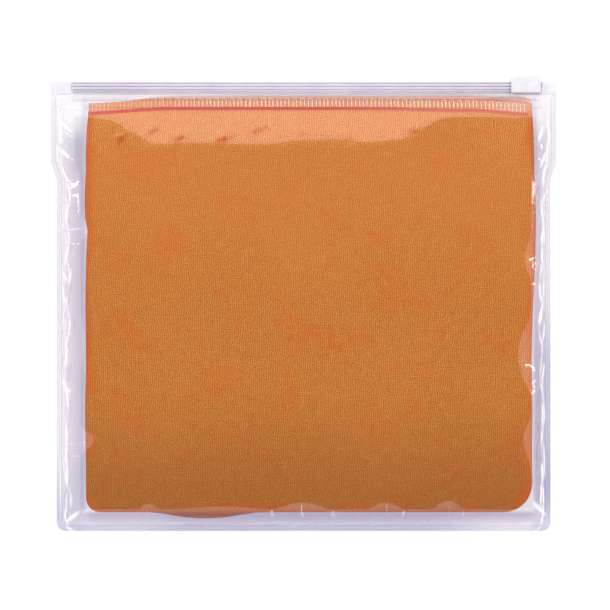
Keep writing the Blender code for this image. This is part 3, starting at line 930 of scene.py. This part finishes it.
def towel_face(x, y, side):
    """Front or back of the stack of cloth, thinning towards the zip."""
    full = FRONT_RISE if side == FRONT else BACK_RISE
    slope = top_slope(x) if side == FRONT else TOP_SLOPE
    top = rising(SLOPE_TOP_Y - y, slope)
    film = SKIRT_STEP + (full - SKIRT_STEP) * top
    deep = SKIRT_STEP + 2 * GAP + HEM_THICKNESS if side == FRONT else SKIRT_STEP + GAP
    reach = SKIRT_LOW_Y - SLOPE_TOP_Y + TOP_SLOPE
    stack = GAP + (deep - GAP) * smooth_step(y - SLOPE_TOP_Y + TOP_SLOPE, reach)
    left = rising(x - TOWEL_LOW.x, EDGE_ROUND, 2.0)
    right = rising(TOWEL_HIGH.x - x, EDGE_ROUND, 2.0)
    bottom = rising(y - TOWEL_LOW.y, EDGE_ROUND, 2.0)
    edge = 0.5 + 0.5 * left * right * bottom
    height = np.maximum(film - stack, GAP)
    if side == FRONT:
        height = (height + middle_waves(x, y)) * edge
        return FRONT_LOW.z + np.minimum(height, room(x, y, FRONT_RISE, side))
    return BACK_HIGH.z - np.minimum(height * edge, room(x, y, BACK_RISE, side))


def folded_sheet():
    """One sheet folded in three across and in six along, as a block with straight sides."""
    width = TOWEL_HIGH.x - TOWEL_LOW.x
    height = TOWEL_HIGH.y - TOWEL_LOW.y
    across, _, run_across = zigzag(LAYERS_ACROSS, width, LAYER_PITCH, 40, 6, 0.0, CLOTH / 2)
    outside = (LAYERS_ACROSS - 1) * LAYER_PITCH / 2 + CLOTH / 2
    along, normal, run_along = zigzag(LAYERS_ALONG, height, STRIP_DEPTH, 44, 10, HEM_SETBACK,
                                      outside)
    made, i, j = grid_object("towel_sheet", len(across), len(along))
    x = TOWEL_LOW.x + across[i, 0]
    offset = across[i, 1] - (LAYERS_ACROSS - 1) * LAYER_PITCH / 2
    y = TOWEL_LOW.y + along[j, 0] + offset * normal[j, 0]
    z = STRIP_DEPTH / 2 + along[j, 1] + offset * normal[j, 1]
    move_vertices(made, np.stack([x, y, z], 1))

    flat_map = made.data.uv_layers.new(name="cloth")
    corners = np.empty(len(made.data.loops), np.int32)
    made.data.loops.foreach_get("vertex_index", corners)
    places = np.stack([run_across[i], run_along[j]], 1)[corners]
    flat_map.data.foreach_set("uv", places.astype(np.float32).ravel())
    thickened(made, CLOTH, 0.0)
    return made


def towel_tones(made, x, y, to_side, above, front_strip):
    """Keeps what tones the cloth: painted shade at its red edges and its shaded foot, painted
    light on its upper part and pale under the film's fall, painted shade under the film's
    swellings, and painted light behind the hem.

    above is the height over the towel's foot before the sag.
    """
    # Painted shade where the cloth rounds off at its sides and foot
    reach = 4 * MM + 7 * MM * perlin(x, y, 14 * MM, 14 * MM, 8.8)
    side_edge_shade = 1.0 - smooth_step(to_side - 0.3 * reach, np.maximum(reach, 0.5 * MM))
    foot_edge_shade = 1.0 - smooth_step(above - 0.3 * reach, np.maximum(0.8 * reach, 0.5 * MM))
    point_values(made, "edge", np.maximum(side_edge_shade, foot_edge_shade))
    point_values(made, "shade", 1.0 - smooth_step(above - 2 * MM, 75 * MM))
    # Painted light: the upper towel is lighter
    point_values(made, "upper", smooth_step(y + 20 * MM, 100 * MM))
    # Painted light under the film's fall and at the upper corners
    past_fall = smooth_step(y - SLOPE_TOP_Y + top_slope(x), 4 * MM)
    corner = smooth_step(np.abs(x) - 75 * MM, 45 * MM) * smooth_step(y - 60 * MM, 40 * MM)
    point_values(made, "fall", past_fall * (1.0 + 0.5 * corner) + 0.3 * corner)
    # Painted shade on the cloth under the film's swellings
    point_values(made, "swelling_shade", clip01(swellings(x, y + 1.5 * MM) * 1.2) * front_strip)
    # Painted light on the layers that show behind the hem
    past_hem = smooth_step(y - HEM_HIGH.y + hem_bow(x) - 0.3 * MM, 0.5 * MM)
    point_values(made, "light_behind_hem", past_hem * (1.0 - front_strip))


def towel_piece(look):
    """The folded towel, shaped to the room that the pouch leaves it."""
    made = folded_sheet()
    x, y, z = vertices_of(made).T
    above = y - TOWEL_LOW.y
    low = TOWEL_LOW.x + corner_inset(above, LEFT_CORNER) + towel_outline(y, LEFT_IN)
    high = TOWEL_HIGH.x - corner_inset(above, RIGHT_CORNER) - towel_outline(y, RIGHT_IN)
    share = (x - TOWEL_LOW.x) / (TOWEL_HIGH.x - TOWEL_LOW.x)
    x = low + (high - low) * share
    front_strip = smooth_step(z - (TOWEL_DEPTH - STRIP_DEPTH * 1.1), STRIP_DEPTH * 0.3)
    drop = hem_bow(x) * front_strip + back_drop(x) * (1.0 - front_strip)
    y = y - drop * smooth_step(y - 70 * MM, 38 * MM)
    sag = SAG_DEPTH * smooth_step(SAG_HALF - np.abs(x - SAG_X), SAG_FADE)
    y = y - sag * (1.0 - smooth_step(above, 9 * MM))
    bottom = towel_face(x, y, BACK)
    top = towel_face(x, y, FRONT)
    z = bottom + (top - bottom) * z / TOWEL_DEPTH
    move_vertices(made, np.stack([x, y, z], 1))
    towel_tones(made, x, y, np.minimum(x - low, high - x), above, front_strip)
    made.data.shade_smooth()
    made.data.materials.clear()
    made.data.materials.append(look)
    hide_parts("towel_cloth")
    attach(made, "towel")
    return made


def cloth_top(x, y):
    """Height of the towel's front face at one place, for what is sewn on it."""
    return float(towel_face(np.array([x]), np.array([y]), FRONT)[0])


def looper_piece(look):
    """Overlock loops round the end hem: a square arch over every second stitch."""
    bm = bmesh.new()
    count = int((LOOP_END_X - HEM_START) / (2 * STITCH_PITCH))
    for stitch in range(count):
        wobble = [noise.noise(Vector((stitch * 0.83, 3.0 * k, 9.0 - k))) for k in range(4)]
        radius = LOOP_RADIUS * (1.0 + 0.3 * wobble[0])
        start = HEM_START + 2 * STITCH_PITCH * stitch + 0.3 * MM * wobble[1]
        wide = STITCH_PITCH * (1.0 + 0.25 * wobble[2])
        reach = LOOP_REACH * (1.0 + 0.2 * wobble[3])
        arch = ((0.0, -reach), (0.05, -0.7 * reach), (0.0, -0.3 * reach), (0.06, -0.05 * reach),
                (0.5, 0.0), (0.94, -0.05 * reach), (1.0, -0.3 * reach),
                (0.95, -0.7 * reach), (1.05, -reach))
        path = []
        for share, drop in arch:
            x = start + wide * share
            y = HEM_HIGH.y - hem_bow(np.array([x]))[0] + drop
            path.append(Vector((x, y, cloth_top(x, y) + radius * 1.05)))
        tube_along(bm, path, radius, 5)
    made = finished("hem_looper_loops", bm, 80.0)
    made.data.materials.append(look)
    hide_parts("hem_looper_thread")
    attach(made, "towel")
    return made


def needle_piece(look):
    """Two rows of straight stitches that hold the overlock, dipping into the cloth."""
    bm = bmesh.new()
    middle = (NEEDLE_LOW.y + NEEDLE_HIGH.y) / 2
    steps = 4
    count = int((NEEDLE_END_X - HEM_START) / STITCH_PITCH) * steps
    for row in (-NEEDLE_ROW, NEEDLE_ROW):
        path = []
        for step in range(count):
            x = HEM_START + STITCH_PITCH * step / steps
            dip = 0.5 - 0.5 * math.cos(2 * math.pi * step / steps + row / MM)
            y = middle + row - hem_bow(np.array([x]))[0]
            path.append(Vector((x, y, cloth_top(x, y) + NEEDLE_RADIUS * (0.45 + 0.5 * dip))))
        tube_along(bm, path, NEEDLE_RADIUS, 6)
    made = finished("hem_needle_stitches", bm, 80.0)
    made.data.materials.append(look)
    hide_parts("hem_needle_thread")
    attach(made, "towel")
    return made


# -------------------------------------------------------------------- the zip

def track_piece(name, node, look):
    """One half of the zip track. Its skirt is welded to the film, which shows instead."""
    bm = bmesh.new()
    bm.from_mesh(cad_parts[node].data)
    bmesh.ops.remove_doubles(bm, verts=bm.verts, dist=0.001 * MM)
    whole = bm.verts[:] + bm.edges[:] + bm.faces[:]
    bmesh.ops.bisect_plane(bm, geom=whole, plane_co=(0, FILM_TOP_Y - 0.7 * MM, 0),
                           plane_no=(0, -1, 0), clear_outer=True)
    open_edges = [edge for edge in bm.edges if edge.is_boundary]
    bmesh.ops.holes_fill(bm, edges=open_edges, sides=0)
    made = finished(name, bm, 35.0)
    made.data.materials.append(look)
    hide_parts(node)
    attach(made, "pouch")


def crushed_end(name, node, look):
    """End of the zip, both halves melted flat with the squares of a heated jaw."""
    low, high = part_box(node)
    low.y = FILM_TOP_Y - 0.6 * MM
    pitch = 1.25 * MM
    columns = round((high.x - low.x) / pitch) * 4 + 1
    rows = round((high.y - low.y) / pitch) * 4 + 1
    made, i, j = grid_object(name, columns, rows)
    x = low.x + (high.x - low.x) * i / (columns - 1)
    y = low.y + (high.y - low.y) * j / (rows - 1)
    squares = np.sin(np.pi * (x - low.x) / pitch) * np.sin(np.pi * (y - low.y) / pitch)
    tooth = np.abs(squares) ** 0.5
    inward = np.minimum.reduce([x - low.x, high.x - x, y - low.y, high.y - y])
    rim = rising(inward, 0.6 * MM, 2.0)
    melt = perlin(x, y, 3 * MM, 3 * MM, 5.5)
    half = (high.z - low.z) / 2
    z = SEAM_Z - half + half * 2 * (0.55 + 0.25 * rim + 0.14 * tooth + 0.1 * melt)
    move_vertices(made, np.stack([x, y, np.minimum(z, high.z)], 1))
    bm = bmesh.new()
    bm.from_mesh(made.data)
    border = [edge for edge in bm.edges if edge.is_boundary]
    pulled = bmesh.ops.extrude_edge_only(bm, edges=border)["geom"]
    for vert in verts_in(pulled):
        vert.co.z = low.z + half * 0.4
    bmesh.ops.contextual_create(bm, geom=[e for e in bm.edges if e.is_boundary])
    bmesh.ops.recalc_face_normals(bm, faces=bm.faces)
    bm.to_mesh(made.data)
    bm.free()
    made.data.shade_smooth()
    made.data.set_sharp_from_angle(angle=math.radians(50))
    made.data.materials.append(look)
    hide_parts(node)
    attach(made, "pouch")


def slider_piece(look):
    """White saddle over the track, with rounded edges and grip ribs on its cheeks."""
    reach = (SLIDER_HIGH.z - SLIDER_LOW.z) / 2
    track = reach - 1.6 * MM
    roof = TOP_Y + GAP
    low = SLIDER_LOW.y
    top = SLIDER_HIGH.y
    lip = 0.75 * MM
    foot = low + 0.7 * MM
    half = [(roof - 1.0 * MM, 0.5 * MM), (roof, 0.5 * MM), (roof, track), (foot, track),
            (foot, lip), (low, lip), (low, reach), (top, reach)]
    section = half + [(y, -z) for y, z in reversed(half)]
    bm = bmesh.new()
    ring = [bm.verts.new((SLIDER_LOW.x, y, SEAM_Z + z)) for y, z in section]
    pulled = bmesh.ops.extrude_face_region(bm, geom=[bm.faces.new(ring)])["geom"]
    length = SLIDER_HIGH.x - SLIDER_LOW.x
    bmesh.ops.translate(bm, verts=verts_in(pulled), vec=(length, 0, 0))
    bmesh.ops.recalc_face_normals(bm, faces=bm.faces)
    outer = [edge for edge in bm.edges if edge.is_manifold and not edge.is_contiguous
             or edge.calc_face_angle(0) > 1.0]
    outside = [edge for edge in outer if all(
        abs(vert.co.z - SEAM_Z) > reach - 0.1 * MM for vert in edge.verts)]
    bmesh.ops.bevel(bm, geom=outside, offset=0.7 * MM, offset_type="OFFSET", segments=4,
                    profile=0.5, affect="EDGES", material=-1)
    made = finished("zip_slider_moulding", bm, 35.0)

    ribs = bmesh.new()
    for side in (FRONT, BACK):
        for number in range(5):
            x = SLIDER_LOW.x + length * (0.26 + 0.12 * number)
            block = bmesh.ops.create_cube(ribs, size=1.0)["verts"]
            bmesh.ops.scale(ribs, vec=(0.7 * MM, 5.4 * MM, 0.5 * MM), verts=block)
            centre = (x, (low + top) / 2, SEAM_Z + side * (reach - 0.2 * MM))
            bmesh.ops.translate(ribs, vec=centre, verts=block)
    bmesh.ops.bevel(ribs, geom=ribs.edges[:], offset=0.16 * MM, offset_type="OFFSET", segments=2,
                    profile=0.5, affect="EDGES", material=-1)
    grips = finished("zip_slider_grip_ribs", ribs, 35.0)
    for piece in (made, grips):
        piece.data.materials.append(look)
        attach(piece, "slider")
    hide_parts("zip_slider")


# -------------------------------------------------------------- studio set-up

def studio_floor():
    bm = bmesh.new()
    bmesh.ops.create_grid(bm, x_segments=8, y_segments=8, size=3.0)
    floor = finished("studio_floor", bm)
    floor.location.z = -0.05 * MM
    made, tree, body = new_material("pale_floor")
    feed(tree, body, {"Base Color": (0.3, 0.3, 0.3, 1), "Roughness": 0.9,
                      "Specular IOR Level": 0.0, "Emission Color": (1, 1, 1, 1),
                      "Emission Strength": 0.78})
    floor.data.materials.append(made)


def surround():
    """Bright all round, brightest beyond the zip, with a dark patch overhead."""
    world = bpy.data.worlds.new("studio_surround")
    bpy.context.scene.world = world
    world.use_nodes = True
    tree = world.node_tree
    way = axes_of(tree, tree.nodes.new("ShaderNodeTexCoord").outputs["Generated"])
    back = levels(tree, way[1], 0.0, 0.8, 1.0, 1.25)
    patch_rim, patch_core = math.cos(math.radians(15)), math.cos(math.radians(11))
    overhead = levels(tree, way[2], patch_rim, patch_core, 1.10, 0.10)
    feed(tree, tree.nodes["Background"], {"Strength": times(tree, overhead, back),
                                          "Color": (1, 1, 1, 1)})


def side_lights():
    """Slim strips at the left, the right and the foot, for glints on the creases."""
    lamps = (("left_strip", (-1.1, 0.1, 0.5), 0.7), ("right_strip", (1.1, 0.1, 0.5), 0.7),
             ("low_strip", (0.0, -1.1, 0.5), 0.4))
    for name, place, power in lamps:
        light = bpy.data.lights.new(name, "AREA")
        light.shape = "RECTANGLE"
        light.size = 0.025
        light.size_y = 1.0
        light.energy = power
        lamp = bpy.data.objects.new(name, light)
        bpy.context.scene.collection.objects.link(lamp)
        lamp.location = place
        aim = Vector((0, 0, SEAM_Z)) - Vector(place)
        lamp.rotation_euler = aim.to_track_quat("-Z", "Y").to_euler()
        lamp.visible_camera = False


def camera():
    """Square above the pouch, through a long lens."""
    view = bpy.data.cameras.new("camera")
    eye = bpy.data.objects.new("camera", view)
    bpy.context.scene.collection.objects.link(eye)
    middle = (cad_low + cad_high) / 2
    eye.location = (middle.x + 0.8 * MM, middle.y - 0.7 * MM, SEAM_Z + EYE_HEIGHT)
    view.sensor_width = 36.0
    view.lens = view.sensor_width * EYE_HEIGHT / (VIEW_WIDTH * (cad_high.x - cad_low.x))
    bpy.context.scene.camera = eye
    bpy.context.scene.view_settings.view_transform = "Standard"


def build():
    camera()
    studio_floor()
    surround()
    side_lights()
    film_look = film_material()
    film_piece(BACK, film_look)
    towel = towel_piece(towel_material())
    loops = looper_piece(thread_material("cream_looper_thread", srgb(255, 250, 242),
                                         srgb(246, 214, 192), (-92 * MM, -52 * MM),
                                         srgb(252, 196, 150)))
    needle = needle_piece(thread_material("orange_needle_thread", srgb(240, 118, 60),
                                          srgb(206, 62, 16), (20 * MM, 60 * MM),
                                          srgb(240, 60, 0)))
    film_piece(FRONT, film_look)
    track_look = track_material("lavender_zip_track", True, srgb(252, 249, 255),
                                srgb(243, 237, 250))
    end_look = track_material("crushed_zip_plastic", False, srgb(254, 253, 255),
                              srgb(244, 241, 249))
    track_piece("zip_rib_track", "zip_rib_profile", track_look)
    track_piece("zip_claw_track", "zip_claw_profile", track_look)
    crushed_end("zip_end_left_crush", "zip_end_left", end_look)
    crushed_end("zip_end_right_crush", "zip_end_right", end_look)
    slider_piece(slider_material())


build()
